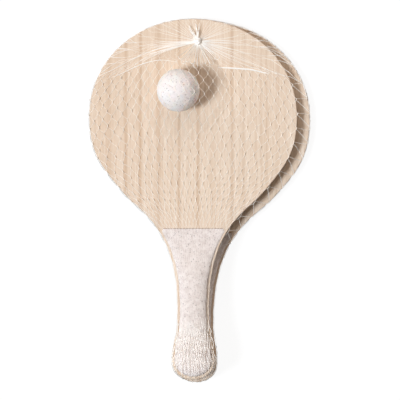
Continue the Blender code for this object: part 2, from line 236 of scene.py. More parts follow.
def rayShaders(tree, ray, plain, other):
    # rays of one kind meet the other shader
    kind = addNode(tree, "LightPath", {}).outputs[ray]
    both = addNode(tree, "MixShader", {0: kind, 1: plain.outputs[0], 2: other.outputs[0]})
    setInputs(tree, tree.nodes["Material Output"], {"Surface": both.outputs[0]})


# grip pads' settings, which the wood's glue line and painted pad shadow share

padLook = {"across": 28, "along": 96, "cornerRows": 4, "rowPower": 1.4, "inset": 0.0026, "corner": 0.003,
           "thinEnd": 0.0015, "fullFrom": 0.1, "roundFrom": 0.024, "roundPower": 2.2, "edgeShare": 0.14,
           "crownPower": 2.2, "crownRound": 0.6, "buttThickness": 0.35, "buttWidth": 0.22, "glueGap": 0.0003,
           "rimRound": 0.0005, "rimSteps": 3, "lump": 0.00022, "lumpSize": 0.009, "lumpFrom": 0.004,
           "sharpFrom": 60}

# pale plywood: grain along the paddle, with a few darker growth streaks

woodLook = {
    "colour": (0.862, 0.724, 0.586), "light": (0.915, 0.8, 0.675), "streak": (0.57, 0.38, 0.235),
    "fleck": (0.7, 0.53, 0.385), "cross": (0.64, 0.47, 0.33), "crossDark": (0.48, 0.33, 0.215),
    # place across the blade, half width and depth of each growth streak
    "streaks": ((-0.0886, 0.005, 0.72), (-0.0713, 0.0034, 0.88), (-0.056, 0.0032, 1.0),
                (-0.0365, 0.0052, 0.8), (-0.0149, 0.0027, 0.92), (0.0051, 0.0034, 0.86),
                (0.0408, 0.0028, 0.95), (0.053, 0.003, 0.36), (0.0714, 0.0028, 0.4),
                (0.0772, 0.0024, 0.3), (0.0882, 0.003, 0.3)),
    "streakDepth": 0.8, "wander": 0.0018,   # how far the streaks stray from straight
    # how fine each slow pattern is across, along and through the wood
    "wanderScale": (6, 9, 0), "patchScale": (60, 14, 1), "bandScale": (120, 3, 0),
    "patchRange": (0.25, 0.75, 0.65, 1.0), "bandRange": (0.3, 0.7),
    # the fine patterns over the bands: how fine, range of the noise, depth and colour
    "lines": ((460, 7, 1), (0.4, 0.75), 0.3, "streak"),
    "fibres": ((1500, 30, 900), (0.25, 0.8), 0.34, "streak"),
    "flecks": ((620, 80, 1), (0.35, 0.75), 0.52, "fleck"),
    "darkSide": (-0.12, 0.03), "darker": 0.23,   # the veneer is darker towards one side
    # the cross plies' open pores and pale patches
    "poreScale": (1100, 1100, 2600), "poreRange": (0.35, 0.75), "poreDepth": 0.8,
    "paleScale": 90.0, "paleRange": (0.3, 0.7), "paleDepth": 0.35,
    # roughness, shine, and strength and depth of the bumps
    "faceRough": (0.2, 0.8, 0.5, 0.66), "faceShine": 0.35, "faceBump": (0.25, 0.0002),
    "crossRough": 0.72, "crossShine": 0.3, "crossBump": (0.3, 0.0002),
    # thin brown line where a pad's straight end meets the blade: partly a glue line, partly the painted
    # shadow that the pad's end casts on the blade
    "glueShadowLine": 0.0007, "glueShadowColour": (0.33, 0.19, 0.105), "glueShadowDepth": 0.8,
}


def grainCoords(tree, paddle):
    coords = addNode(tree, "TexCoord", {}).outputs["Object"]
    inverse = paddle["place"].inverted()
    inputs = {"Vector": coords, "Location": inverse.translation, "Rotation": inverse.to_euler()}
    return addNode(tree, "Mapping", inputs).outputs["Vector"]


def woodNoise(tree, local, scale, detail=2.0, rough=0.6):
    # noise drawn out along the grain
    drawn = addNode(tree, "VectorMath", {0: local, 1: scale}, operation='MULTIPLY')
    return noiseNode(tree, drawn.outputs[0], 1.0, detail, rough)


def growthStreaks(tree, local, across):
    # soft dark lines along the paddle, fainter here and there
    streaks = 0.0
    for at, width, depth in woodLook["streaks"]:
        away = mathNode(tree, 'ABSOLUTE', mathNode(tree, 'SUBTRACT', across, at))
        line = times(tree, rangeNode(tree, away, 0.0, width, 1.0, 0.0), depth)
        streaks = mathNode(tree, 'MAXIMUM', streaks, line)
    patchy = woodNoise(tree, local, woodLook["patchScale"], 3.0, 0.5)
    streaks = times(tree, streaks, rangeNode(tree, patchy, *woodLook["patchRange"]))
    return times(tree, streaks, woodLook["streakDepth"])


def padSize(paddle, name):
    # where a pad begins on the blade and ends at the butt, and how thick it is
    local = toLocal(paddle["place"], spotsOf(paddle["owner"] + "_" + name))
    return local[:, 1].max(), local[:, 1].min(), np.abs(local[:, 2]).max() - paddle["face"]


# the thin brown strip just past a pad's straight end on the blade: a glue line with the pad's shadow painted
# into it
def glueShadowStrip(tree, paddle, x, y):
    topAt = padSize(paddle, "top_grip_pad")[0]
    padHalf = halfWidth(paddle, topAt) - padLook["inset"] - padLook["corner"]
    beyond = mathNode(tree, 'SUBTRACT', y, topAt)
    onBlade = mathNode(tree, 'GREATER_THAN', beyond, 0.0)
    strip = times(tree, onBlade, mathNode(tree, 'LESS_THAN', beyond, woodLook["glueShadowLine"]))
    onPad = mathNode(tree, 'LESS_THAN', mathNode(tree, 'ABSOLUTE', x), padHalf)
    return times(tree, times(tree, strip, onPad), woodLook["glueShadowDepth"])


def faceWood(paddle):
    material, tree, shader = startMaterial(paddle["owner"] + "_face_wood")
    local = grainCoords(tree, paddle)
    parts = addNode(tree, "SeparateXYZ", {0: local}).outputs
    wander = woodNoise(tree, local, woodLook["wanderScale"], rough=0.5)
    shift = mathNode(tree, 'MULTIPLY_ADD', wander, 2 * woodLook["wander"], -woodLook["wander"])
    across = mathNode(tree, 'ADD', parts["X"], shift)
    banded = addNode(tree, "CombineXYZ", {0: across, 1: parts["Y"]}).outputs[0]
    bands = woodNoise(tree, banded, woodLook["bandScale"], 4.0)
    lighter = rangeNode(tree, bands, *woodLook["bandRange"])
    colour = mixColour(tree, lighter, woodLook["colour"], woodLook["light"])
    colour = mixColour(tree, growthStreaks(tree, local, across), colour, woodLook["streak"])
    patterns = {name: woodNoise(tree, local, woodLook[name][0]) for name in ("lines", "fibres", "flecks")}
    for name, pattern in patterns.items():
        spread, depth, tint = woodLook[name][1:]
        colour = mixColour(tree, rangeNode(tree, pattern, *spread, 0.0, depth), colour, woodLook[tint])
    slow = rangeNode(tree, parts["X"], *woodLook["darkSide"], woodLook["darker"], 0.0)
    colour = mixColour(tree, slow, colour, woodLook["streak"])
    # painted shadow of the pad's end, with its glue line, as a brown strip on the blade
    glueAndShadow = glueShadowStrip(tree, paddle, parts["X"], parts["Y"])
    colour = mixColour(tree, glueAndShadow, colour, woodLook["glueShadowColour"])
    rough = rangeNode(tree, patterns["fibres"], *woodLook["faceRough"])
    paint(tree, shader, colour, rough, woodLook["faceShine"])
    addBump(tree, shader, patterns["fibres"], *woodLook["faceBump"])
    return material


def crossWood(paddle):
    material, tree, shader = startMaterial(paddle["owner"] + "_cross_wood")
    local = grainCoords(tree, paddle)
    pores = woodNoise(tree, local, woodLook["poreScale"], rough=0.5)
    dark = rangeNode(tree, pores, *woodLook["poreRange"], 0.0, woodLook["poreDepth"])
    colour = mixColour(tree, dark, woodLook["cross"], woodLook["crossDark"])
    patches = noiseNode(tree, local, woodLook["paleScale"], 2.0)
    pale = rangeNode(tree, patches, *woodLook["paleRange"], 0.0, woodLook["paleDepth"])
    colour = mixColour(tree, pale, colour, woodLook["colour"])
    paint(tree, shader, colour, woodLook["crossRough"], woodLook["crossShine"])
    addBump(tree, shader, pores, *woodLook["crossBump"])
    return material


plyLook = {"names": ("bottom_veneer", "bottom_cross_ply", "core_ply", "top_cross_ply", "top_veneer"),
           "ease": 0.00018, "easeSteps": 2, "sameSpot": 1e-6, "flatTo": 0.5, "sharpFrom": 30}


def sandedPly(node):
    # the ply as cut, with its sharp edges sanded
    bm = bmesh.new()
    bm.from_mesh(frame["nodes"][node].data)
    bmesh.ops.remove_doubles(bm, verts=bm.verts[:], dist=plyLook["sameSpot"])
    flatTo, sharpFrom = math.radians(plyLook["flatTo"]), math.radians(plyLook["sharpFrom"])
    bmesh.ops.dissolve_limit(bm, angle_limit=flatTo, verts=bm.verts[:], edges=bm.edges[:])
    sharp = [edge for edge in bm.edges if edge.is_manifold and edge.calc_face_angle(0.0) > sharpFrom]
    rounded(bm, sharp, plyLook["ease"], plyLook["easeSteps"])
    return meshFrom(bm)


for paddle in (upper, lower):
    alongWood = faceWood(paddle)
    acrossWood = crossWood(paddle)
    for name in plyLook["names"]:
        node = paddle["owner"] + "_" + name
        wood, woodSlot = (acrossWood, "cross_wood") if "cross" in name else (alongWood, "face_wood")
        addPiece(node + "_sanded", sandedPly(node), wood, paddle["owner"], [node])
print("plies sanded")


# speckled foam of the grips and the ball

speckLook = {"sizeFrom": 0.4, "sizeVaries": 0.75, "soft": 0.45, "toneFrom": 0.3, "toneVaries": 0.7,
             "wobble": 1.6, "pit": 0.35, "pitDepth": 0.0005, "mottleScale": 210.0,
             "mottleRange": (0.3, 0.7), "noise": (3.0, 0.6), "shine": 0.3}
# specks are given by scale, size, share of the cells that hold one, depth and colour
foamLook = {
    "grip": {"colour": (0.735, 0.65, 0.615), "light": (0.885, 0.815, 0.785),
             "grainScale": 1100.0, "ragged": 0.0011, "roughness": 0.78, "bump": 0.35,
             "fine": (1150.0, 0.5, 0.5, 0.6, (0.54, 0.47, 0.44)),
             "large": (520.0, 0.46, 0.7, 0.75, (0.36, 0.315, 0.3))},
    "ball": {"colour": (0.858, 0.81, 0.794), "light": (0.932, 0.89, 0.876),
             "grainScale": 900.0, "ragged": 0.0012, "roughness": 0.7, "bump": 0.3,
             "fine": (1000.0, 0.48, 0.5, 0.6, (0.54, 0.49, 0.48)),
             "large": (450.0, 0.46, 0.8, 0.72, (0.33, 0.295, 0.29))},
}


def speckLayer(tree, coords, scale, size, share):
    # a share of the cells holds a speck, each of its own size and depth
    cells = addNode(tree, "TexVoronoi", {"Vector": coords, "Scale": scale})
    chance, bulk, tone = addNode(tree, "SeparateColor", {0: cells.outputs["Color"]}).outputs
    reach = mathNode(tree, 'MULTIPLY_ADD', bulk, size * speckLook["sizeVaries"], size * speckLook["sizeFrom"])
    inner = times(tree, reach, speckLook["soft"])
    dot = rangeNode(tree, cells.outputs["Distance"], reach, inner)
    dot = times(tree, dot, mathNode(tree, 'LESS_THAN', chance, share))
    depth = mathNode(tree, 'MULTIPLY_ADD', tone, speckLook["toneVaries"], speckLook["toneFrom"])
    return times(tree, dot, depth)


def speckledFoam(name, look):
    material, tree, shader = startMaterial(name)
    coords = addNode(tree, "TexCoord", {}).outputs["Object"]
    mottle = noiseNode(tree, coords, speckLook["mottleScale"], *speckLook["noise"])
    grain = noiseNode(tree, coords, look["grainScale"], *speckLook["noise"])
    lighter = rangeNode(tree, mottle, *speckLook["mottleRange"])
    colour = mixColour(tree, lighter, look["colour"], look["light"])
    wobbleScale = look["large"][0] * speckLook["wobble"]
    wobble = addNode(tree, "TexNoise", {"Vector": coords, "Scale": wobbleScale}).outputs["Color"]
    ragged = addNode(tree, "VectorMath", {0: wobble, 1: 3 * (look["ragged"],), 2: coords},
                     operation='MULTIPLY_ADD').outputs[0]
    for scale, size, share, depth, tint in (look["fine"], look["large"]):
        dots = speckLayer(tree, ragged, scale, size, share)
        colour = mixColour(tree, times(tree, dots, depth), colour, tint)
    paint(tree, shader, colour, look["roughness"], speckLook["shine"])
    pits = mathNode(tree, 'SUBTRACT', grain, times(tree, dots, speckLook["pit"]))
    addBump(tree, shader, pits, look["bump"], speckLook["pitDepth"])
    return material


# grip pads: straight thin end on the blade, crowned along the handle, rounded at the butt

def padSection(paddle, y, topAt, endAt, thickest):
    run = np.clip((padLook["roundFrom"] - y) / (padLook["roundFrom"] - endAt), 0, 1)
    arc = math.sqrt(max(0.0, 1 - run ** padLook["roundPower"]))
    rise = float(smooth((topAt - y) / (topAt - padLook["fullFrom"])))
    thick = between(padLook["thinEnd"], thickest, rise)
    thick *= between(padLook["buttThickness"], 1, arc)
    wide = halfWidth(paddle, y) - padLook["inset"]
    if run > 0:
        # the butt's own outline, drawn in by the inset
        full = halfWidth(paddle, padLook["roundFrom"])
        share = halfWidth(paddle, padLook["roundFrom"] * (1 - run)) / full
        wide = max(share, padLook["buttWidth"]) * (full - padLook["inset"])
    wide -= max(0.0, y - topAt + padLook["corner"])
    return wide, thick


def crown(share):
    # height over a pad's width, as a share of its thickness
    full = max(0.0, 1 - abs(share) ** padLook["crownPower"]) ** padLook["crownRound"]
    return between(padLook["edgeShare"], 1, full)


def padRow(step, topAt, endAt):
    # rows close up at the butt, and the last few make the clipped corners
    cornerFrom = 1 - padLook["cornerRows"] / (padLook["along"] - 1)
    if step > cornerFrom:
        return topAt - padLook["corner"] * (1 - step) / (1 - cornerFrom)
    return between(endAt, topAt - padLook["corner"], (step / cornerFrom) ** padLook["rowPower"])


def gripPad(paddle, name, side):
    topAt, endAt, thickest = padSize(paddle, name)
    foot = paddle["face"] + padLook["glueGap"]
    bm = bmesh.new()
    bmesh.ops.create_grid(bm, x_segments=padLook["across"], y_segments=padLook["along"], size=1)
    for vert in bm.verts:
        share = math.sin(vert.co.x * math.pi / 2)
        step = (vert.co.y + 1) / 2
        y = padRow(step, topAt, endAt)
        wide, thick = padSection(paddle, y, topAt, endAt, thickest)
        height = (thick - padLook["glueGap"]) * crown(share)
        spot = Vector((share * wide, y, side)) / padLook["lumpSize"]
        height += padLook["lump"] * noise.noise(spot) * min(1.0, thick / padLook["lumpFrom"])
        vert.co = (share * wide, y, side * (foot + height))
    rim = [edge for edge in bm.edges if edge.is_boundary]
    skirt = bmesh.ops.extrude_edge_only(bm, edges=rim)["geom"]
    for vert in skirt:
        if isinstance(vert, bmesh.types.BMVert):
            vert.co.z = side * foot
    bmesh.ops.edgeloop_fill(bm, edges=[edge for edge in bm.edges if edge.is_boundary])
    rounded(bm, [edge for edge in rim if edge.is_valid], padLook["rimRound"], padLook["rimSteps"])
    bmesh.ops.transform(bm, matrix=paddle["place"], verts=bm.verts[:])
    return meshFrom(bm)


gripFoam = speckledFoam("speckled_grip_foam", foamLook["grip"])
for paddle in (upper, lower):
    for name, side in (("top_grip_pad", 1), ("bottom_grip_pad", -1)):
        node = paddle["owner"] + "_" + name
        mesh = gripPad(paddle, name, side)
        pad = addPiece(node + "_foam", mesh, gripFoam, paddle["owner"], [node],
                       padLook["sharpFrom"])
print("grip pads crowned")


# ball: a foam sphere with a slightly uneven skin

ballLook = {"detail": 6, "uneven": 0.00007, "unevenSize": 0.0045, "glow": 1.0, "glowDepth": 0.016,
            "glowTint": (1.0, 0.8, 0.7)}
ballLow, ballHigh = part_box("ball")
ballMiddle = (ballLow + ballHigh) / 2
ballRadius = (ballHigh.x - ballLow.x) / 2


def foamBall():
    bm = bmesh.new()
    bmesh.ops.create_icosphere(bm, subdivisions=ballLook["detail"], radius=ballRadius - ballLook["uneven"])
    for vert in bm.verts:
        vert.co += vert.co.normalized() * ballLook["uneven"] * noise.noise(vert.co / ballLook["unevenSize"])
    bmesh.ops.translate(bm, verts=bm.verts[:], vec=ballMiddle)
    return meshFrom(bm)


def ballFoam():
    # light spreads a few millimetres inside the pale foam
    material = speckledFoam("speckled_ball_foam", foamLook["ball"])
    tree = material.node_tree
    setInputs(tree, tree.nodes["Principled BSDF"],
              {"Subsurface Weight": ballLook["glow"], "Subsurface Radius": ballLook["glowTint"],
               "Subsurface Scale": ballLook["glowDepth"]})
    return material


addPiece("ball_foam", foamBall(), ballFoam(), "ball", ["ball"])
print("ball made")


# net: a tube of zigzag yarns laid out flat over each half of the stack, then folded round it

netLook = {
    # yarns over each half, rows of joints up to the fold, and rows from there to the knot
    "across": 48, "bodyRows": 40, "fanRows": 7, "stepsAt": (0.0, 0.12, 0.31, 0.5, 0.69, 0.88),
    "strand": 0.00025, "strandFlat": 0.45,   # height of the yarn as a share of its width
    # widths of the yarn, as shares of the strand
    "onGrip": 0.62, "onBlade": 1.2, "atSide": 2.0, "atButt": 2.0, "inFan": 0.72, "fanAtKnot": 1.35,
    "tipOnWay": 0.8, "tipAtKnot": 1.9, "tipAtRim": 2.4, "inLoops": 2.1, "foldEdge": (0.2, 3.0),
    # where along a yarn its width starts to change, and the run in which it does
    "gripEnds": (0.46, 0.08), "buttEnds": (0.15, 0.05), "fanStarts": (0.84, 0.03),
    "knotNears": (0.9, 0.09), "sideStarts": (0.3, 0.16), "rimFades": 0.22,
    # fused joints, and the shares of a row in which the yarns rise to them and run side by side
    "jointLength": 0.0026, "jointVaries": (0.7, 0.45), "jointThick": 0.00085, "jointTip": 0.25,
    "jointSteps": 7, "jointLift": 0.0007, "jointReach": 0.28, "jointRun": 0.12,
    # rows with joints: from one on up the blade, and up to one at the butt, where they are smaller
    "bladeFrom": 22, "bladeRise": (2, 3), "buttTo": 5, "buttFade": 4, "buttShare": 0.55,
    # two tones, and the share of the lamps' light that passes
    "yarnColours": ((0.97, 0.93, 0.87), (1.0, 0.98, 0.94)), "yarnClear": (0.6, 0.58, 0.55),
    "jointColours": ((0.97, 0.89, 0.78), (1.0, 0.95, 0.88)), "jointClear": (0.56, 0.49, 0.41),
    "patchScale": 220.0, "roughness": 0.38, "sharpFrom": 80,
    # how far the net bags up off the blade, in soft patches
    "loose": 0.0005, "looseSize": 0.022, "looseShare": 0.45, "looseLevel": 0.7,
    "bladeEase": 0.02, "rimEase": 0.012,
    # how far its cells stray from even rows, in wide patches
    "sway": 0.005, "swaySize": 0.045, "swayLevels": (3.1, 7.6), "swayEase": (0.03, 0.06),
    # row up to which the joints of a row lie at uneven heights, and how far they stray
    "unevenTo": 36, "uneven": 0.01, "unevenScale": (0.43, 0.9), "unevenLevel": 1.7,
    "lift": 0.0002, "side": 0.0008, "floor": 0.00045, "padClear": 0.0001, "footCorner": 0.013,
    # where the fold meets the sides, and its line as places across and distances from the tip
    "foldFromTip": 0.064,
    "foldLine": ((-0.112, 0.066), (-0.085, 0.0605), (-0.056, 0.0465), (-0.035, 0.0425), (-0.016, 0.0465),
                 (0.002, 0.05), (0.031, 0.0495), (0.061, 0.0515), (0.085, 0.0575), (0.112, 0.066)),
    "foldBend": 0.5, "foldBack": 0.0026, "foldBackRun": 0.3, "foldRidge": 0.0011, "foldRidgeAt": (0.6, 0.8),
    # yarns that lie together along the fold: from, to and how many
    "foldEdges": ((-0.088, -0.016, 1), (0.026, 0.08, 3)), "edgeSteps": 40, "edgeSmooth": 4, "edgeBack": 0.8,
    # yarns between two angles run together through a spot beside the knot, for near and for far starts
    "foldBundles": ((196, 220, (-0.034, -0.0095), (-0.052, -0.009)),
                    (-44, -18, (0.0205, -0.015), (0.044, -0.0165))),
    "tipBundles": ((182, 200, (-0.048, -0.0078), (-0.048, -0.0078)),
                   (-18, -2, (0.04, -0.0055), (0.04, -0.0055))),
    "bundleFrom": 0.035, "bundleSpan": 0.065, "bundleEase": 20.0, "bundlePull": 2.6,
    # how soon the zigzag ends on the way to the knot, and how far the long yarns stray
    "fanSteady": 1.7, "fanScatter": 0.0085,
    "tentReach": 0.052, "coverFrom": 0.8, "coverEase": 0.024,
    # wrinkles over the handle's end, and the ridges in which the yarns gather there
    "wrinkleTo": 0.06, "wrinkle": 0.001, "wrinkleLow": 0.3,
    "ridgeEvery": 0.0042, "ridgeWave": (0.9, 0.011), "ridgeDraw": 0.00042,
    "knotRing": 0.0022, "knotRise": 0.0015, "knotReach": 0.016,
}
yarnCount, rowCount = netLook["across"], netLook["bodyRows"]
knotLow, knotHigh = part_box("net_knot")
knotMiddle = (knotLow + knotHigh) / 2
knotLocal = toLocal(upper["place"], [knotMiddle])[0]
ballLocal = toLocal(upper["place"], [ballMiddle])[0]


def edgeDistance(loop, points):
    # distance to a closed outline, below zero inside, with its nearest point and the way out
    step = np.roll(loop, -1, axis=0) - loop
    offset = points[:, None, :] - loop[None, :, :]
    along = np.clip((offset * step).sum(2) / (step * step).sum(1), 0, 1)
    foot = loop + along[..., None] * step
    away = points[:, None, :] - foot
    gap = np.hypot(away[..., 0], away[..., 1])
    best = gap.argmin(1)
    rows = np.arange(len(points))
    edge = step[best]
    inside = edge[:, 0] * away[rows, best, 1] - edge[:, 1] * away[rows, best, 0] > 0
    wayOut = np.c_[edge[:, 1], -edge[:, 0]] / np.hypot(edge[:, 0], edge[:, 1])[:, None]
    return np.where(inside, -gap[rows, best], gap[rows, best]), foot[rows, best], wayOut


def outlineIn(paddle, place):
    flat = np.c_[paddle["outline"], np.zeros(len(paddle["outline"]))]
    return toLocal(place, toRow(paddle["place"], flat))[:, :2]


def midHeight(place, points):
    # height of the plane in which the paddles turn on each other
    inverse = np.array(place.inverted())
    pos = inverse[:3, :3] @ fanPos + inverse[:3, 3]
    axis = inverse[:3, :3] @ fanAxis
    return pos[2] - ((points - pos[:2]) @ axis[:2]) / axis[2]


def ballTent(away):
    radius = ballRadius + netLook["lift"]
    height = ballRadius - netLook["lift"]
    span = math.hypot(netLook["tentReach"], height)
    slope = math.atan2(height, netLook["tentReach"]) + math.asin(radius / span)
    touch = netLook["tentReach"] - math.sqrt(span ** 2 - radius ** 2) * math.cos(slope)
    dome = height + np.sqrt(np.maximum(radius ** 2 - away ** 2, 0.0))
    return np.where(away < touch, dome, np.maximum(0.0, (netLook["tentReach"] - away) * math.tan(slope)))


gripSize = padSize(upper, "top_grip_pad")
gripTopAt = gripSize[0]


def ridgePhase(x, y):
    wave, waveSize = netLook["ridgeWave"]
    return 2 * math.pi * x / netLook["ridgeEvery"] + wave * np.sin(y / waveSize)


def drawnTogether(points):
    # over the handle's end the yarns gather on the ridges
    x, y = points.T
    drawn = netLook["ridgeDraw"] * np.sin(ridgePhase(x, y)) * smooth(1 - y / netLook["wrinkleTo"])
    return np.c_[x - drawn, y]


def gripCover(x, y):
    # the net lies on the pad's crown and runs straight from its edge to the rim
    easeFrom, easeTo = gripTopAt - padLook["corner"], gripTopAt + netLook["coverEase"]
    heights = []
    for px, py in zip(x, y):
        at = min(max(py, padLook["roundFrom"] * netLook["coverFrom"]), easeFrom)
        wide, thick = padSection(upper, at, *gripSize)
        cover = thick * crown(min(abs(px) / wide, 1.0))
        rim = halfWidth(upper, max(py, padLook["roundFrom"])) + netLook["side"]
        cover *= min(1.0, max(0.0, (rim - abs(px)) / (rim - wide)))
        ridge = between(netLook["wrinkleLow"], 1, 0.5 + 0.5 * math.cos(ridgePhase(px, py)))
        wrinkle = netLook["wrinkle"] * ridge * float(smooth(1 - py / netLook["wrinkleTo"]))
        cover += netLook["padClear"] + wrinkle
        heights.append(cover * max(0.0, (easeTo - py) / (easeTo - easeFrom)) if py > easeFrom else cover)
    return np.array(heights)


def bagging(points):
    share, level = netLook["looseShare"], netLook["looseLevel"]
    spots = points / netLook["looseSize"]
    return netLook["loose"] * np.array([max(0.0, share + noise.noise((x, y, level))) for x, y in spots])


class NetHalf:
    # a half of the net lies at its level within its own paddle's outline
    def __init__(self, own, other, place, level):
        self.place = place
        self.up = np.array(place)[:3, 2]
        self.loop = outlineIn(own, place)
        self.other = outlineIn(other, place)
        self.level = level

    def height(self, points):
        return np.full(len(points), self.level)


class FrontHalf(NetHalf):
    # the front half also rises over the ball, the pad and the knot, and bags on the blade
    def height(self, points):
        x, y = points.T
        tent = ballTent(np.hypot(x - ballLocal[0], y - ballLocal[1]))
        knotAway = np.hypot(x - knotLocal[0], y - knotLocal[1])
        rise = netLook["knotRise"] * smooth(1 - knotAway / netLook["knotReach"])
        fromRim = -edgeDistance(self.loop, points)[0]
        onBlade = smooth((y - gripTopAt) / netLook["bladeEase"]) * smooth(fromRim / netLook["rimEase"])
        return self.level + np.maximum(tent, gripCover(x, y)) + bagging(points) * onBlade + rise


def wallOf(half, foot):
    # the net's way from a rim to the plane between the paddles: sideways, down and along
    reach = np.maximum(0.0, -edgeDistance(half.other, foot)[0])
    drop = midHeight(half.place, foot) - half.level
    return reach, drop, np.hypot(reach, drop)


def pushedOut(half, foot):
    return foot + edgeDistance(half.loop, foot)[2] * wallOf(half, foot)[2][:, None]


def sideSpots(half, y):
    middle = half.loop[:, 0].mean()
    spots = []
    for side in (-1, 1):
        part = half.loop[(half.loop[:, 0] - middle) * side > 0]
        part = part[np.argsort(part[:, 1])]
        spots.append((np.interp(y, part[:, 1], part[:, 0]), y))
    return np.array(spots)


def arcSpots(half, y, roundTip):
    # evenly spread spots on the outline past y, round the tip or round the butt
    way = 1 if roundTip else -1
    part = half.loop[(half.loop[:, 1] - y) * way > 0]
    middle = half.loop[:, 0].mean()
    part = part[np.argsort(np.arctan2(part[:, 0] - middle, (part[:, 1] - y) * way))]
    run = np.r_[0, np.cumsum(np.hypot(*np.diff(part, axis=0).T))]
    at = np.linspace(0, run[-1], yarnCount + 1)
    return pushedOut(half, np.stack([np.interp(at, run, part[:, axis]) for axis in (0, 1)], axis=1))


def bodyGrid(half):
    ends = half.loop[:, 1].min() + netLook["footCorner"], half.loop[:, 1].max() - netLook["foldFromTip"]
    grid = [arcSpots(half, ends[0], False)]
    for j in range(1, rowCount + 1):
        left, right = rim = sideSpots(half, ends[0] + (ends[1] - ends[0]) * j / rowCount)
        low, high = pushedOut(half, rim)
        across = between(left, right, np.linspace(0, 1, yarnCount - 1)[:, None])
        grid.append(np.r_[[low], across, [high]])   # one cell spans each side wall
    grid[1] = (grid[0] + grid[2]) / 2
    return np.array(grid), arcSpots(half, ends[1], True)


def bendToFold(half, grid):
    # the upper rows rise to the curved line of the fold
    line = np.array(netLook["foldLine"])
    raised = half.loop[:, 1].max() - np.interp(grid[-1, :, 0], line[:, 0], line[:, 1]) - grid[-1, :, 1]
    for j in range(rowCount + 1):
        grid[j, :, 1] += raised * smooth((j / rowCount - netLook["foldBend"]) / (1 - netLook["foldBend"]))


def swayed(half, grid):
    # over the blade the cells lie unevenly
    spots = grid.reshape(-1, 2)
    rimEase, gripEase = netLook["swayEase"]
    free = smooth(-edgeDistance(half.loop, spots)[0] / rimEase) * smooth((spots[:, 1] - gripTopAt) / gripEase)
    shifts = [[noise.noise((x, y, level)) for level in netLook["swayLevels"]]
              for x, y in spots / netLook["swaySize"]]
    return (spots + np.array(shifts) * (netLook["sway"] * free)[:, None]).reshape(grid.shape)


def unevenRows(grid):
    # the joints of a row lie at uneven heights
    acrossScale, alongScale = netLook["unevenScale"]
    for j in range(1, netLook["unevenTo"]):
        fade = float(smooth(1 - j / netLook["unevenTo"]))
        for i in range(1, grid.shape[1] - 1):
            away = noise.noise((i * acrossScale, j * alongScale, netLook["unevenLevel"]))
            grid[j, i, 1] += netLook["uneven"] * fade * away


def foldRound(half, flat):
    depth, foot, wayOut = edgeDistance(half.loop, flat)
    reach, drop, width = wallOf(half, foot)
    share = np.clip(depth / width, 0.0, 1.0)
    over = foot + wayOut * (netLook["side"] + share * reach)[:, None]
    overHeight = half.level + share * drop
    inside = depth <= 0
    spots = np.where(inside[:, None], flat, over)
    heights = np.where(inside, half.height(flat), overHeight)
    return toRow(half.place, np.c_[spots, heights])


def gridSpot(grid, column, row):
    i = np.clip(np.floor(column).astype(int), 0, grid.shape[1] - 2)
    j = np.clip(np.floor(row).astype(int), 0, grid.shape[0] - 2)
    u, v = (column - i)[:, None], (row - j)[:, None]
    low = grid[j, i] * (1 - u) + grid[j, i + 1] * u
    high = grid[j + 1, i] * (1 - u) + grid[j + 1, i + 1] * u
    return low * (1 - v) + high * v


def zigzag(yarn, firstRow, lastRow):
    # one yarn meets its left and its right neighbour in turn
    columns, rows = [], []
    run = netLook["jointRun"]
    for j in range(firstRow, lastRow):
        start = yarn + (yarn + j) % 2
        stop = yarn + (yarn + j + 1) % 2
        for step in netLook["stepsAt"]:
            share = min(max((step - run) / (1 - 2 * run), 0.0), 1.0)
            columns.append(between(start, stop, share))
            rows.append(j + step)
    columns.append(yarn + (yarn + lastRow) % 2)
    rows.append(lastRow)
    return np.array(columns, float), np.array(rows, float)


def bundleVia(way, far, straight, bundles):
    # the spot through which a yarn runs to the knot, and how far it is drawn to it
    angle = np.degrees(np.arctan2(way[:, 1], way[:, 0]))
    via, drawn = straight.copy(), np.zeros(len(way))
    for low, high, nearSpot, farSpot in bundles:
        spot = np.array(nearSpot) * (1 - far) + np.array(farSpot) * far
        off = (angle - (low + high) / 2 + 180) % 360 - 180
        near = smooth(((high - low) / 2 + netLook["bundleEase"] - np.abs(off)) / netLook["bundleEase"])
        taken = near > drawn
        via[taken] = between(straight[taken], knotLocal[:2] + spot[taken], near[taken, None])
        drawn = np.maximum(drawn, near)
    return via, between(1, netLook["bundlePull"], drawn)


def fanSpots(starts, yarn, columns, rows, foldBack, bundles):
    # from the start spots in to the knot; at the fold the yarns run back a little first
    share = (rows - rowCount) / netLook["fanRows"]
    steady = yarn + 0.5 + (columns - yarn - 0.5) * (1 - smooth(share * netLook["fanSteady"]))
    i = np.clip(np.floor(steady).astype(int), 0, len(starts) - 2)
    u = (steady - i)[:, None]
    start = starts[i] * (1 - u) + starts[i + 1] * u
    way = start - knotLocal[:2]
    reach = np.hypot(way[:, 0], way[:, 1])
    ring = knotLocal[:2] + way / reach[:, None] * netLook["knotRing"]
    back = foldBack * np.sin(np.clip(share / netLook["foldBackRun"], 0, 1) * math.pi)
    t = (share - back / reach)[:, None]
    far = smooth((reach - netLook["bundleFrom"]) / netLook["bundleSpan"])
    stray = netLook["fanScatter"] * scatter(yarn, 2.4) * far
    aside = way[:, ::-1] * (-1, 1) * (stray / reach)[:, None]
    via, pull = bundleVia(way, far[:, None], (start + ring) / 2, bundles)
    middle = 2 * pull[:, None] * t * (1 - t)
    return ((1 - t) ** 2 * start + middle * (via + aside) + t ** 2 * ring) / ((1 - t) ** 2 + middle + t ** 2)


def jointRise(row):
    # how far the yarns stand up at their joints, on the blade and less at the butt
    before, span = netLook["bladeRise"]
    standing = smooth((row - netLook["bladeFrom"] + before) / span)
    standing = standing + netLook["buttShare"] * smooth((netLook["buttTo"] - row) / netLook["buttFade"])
    return netLook["jointLift"] * standing * smooth(1 - np.abs(row - np.round(row)) / netLook["jointReach"])


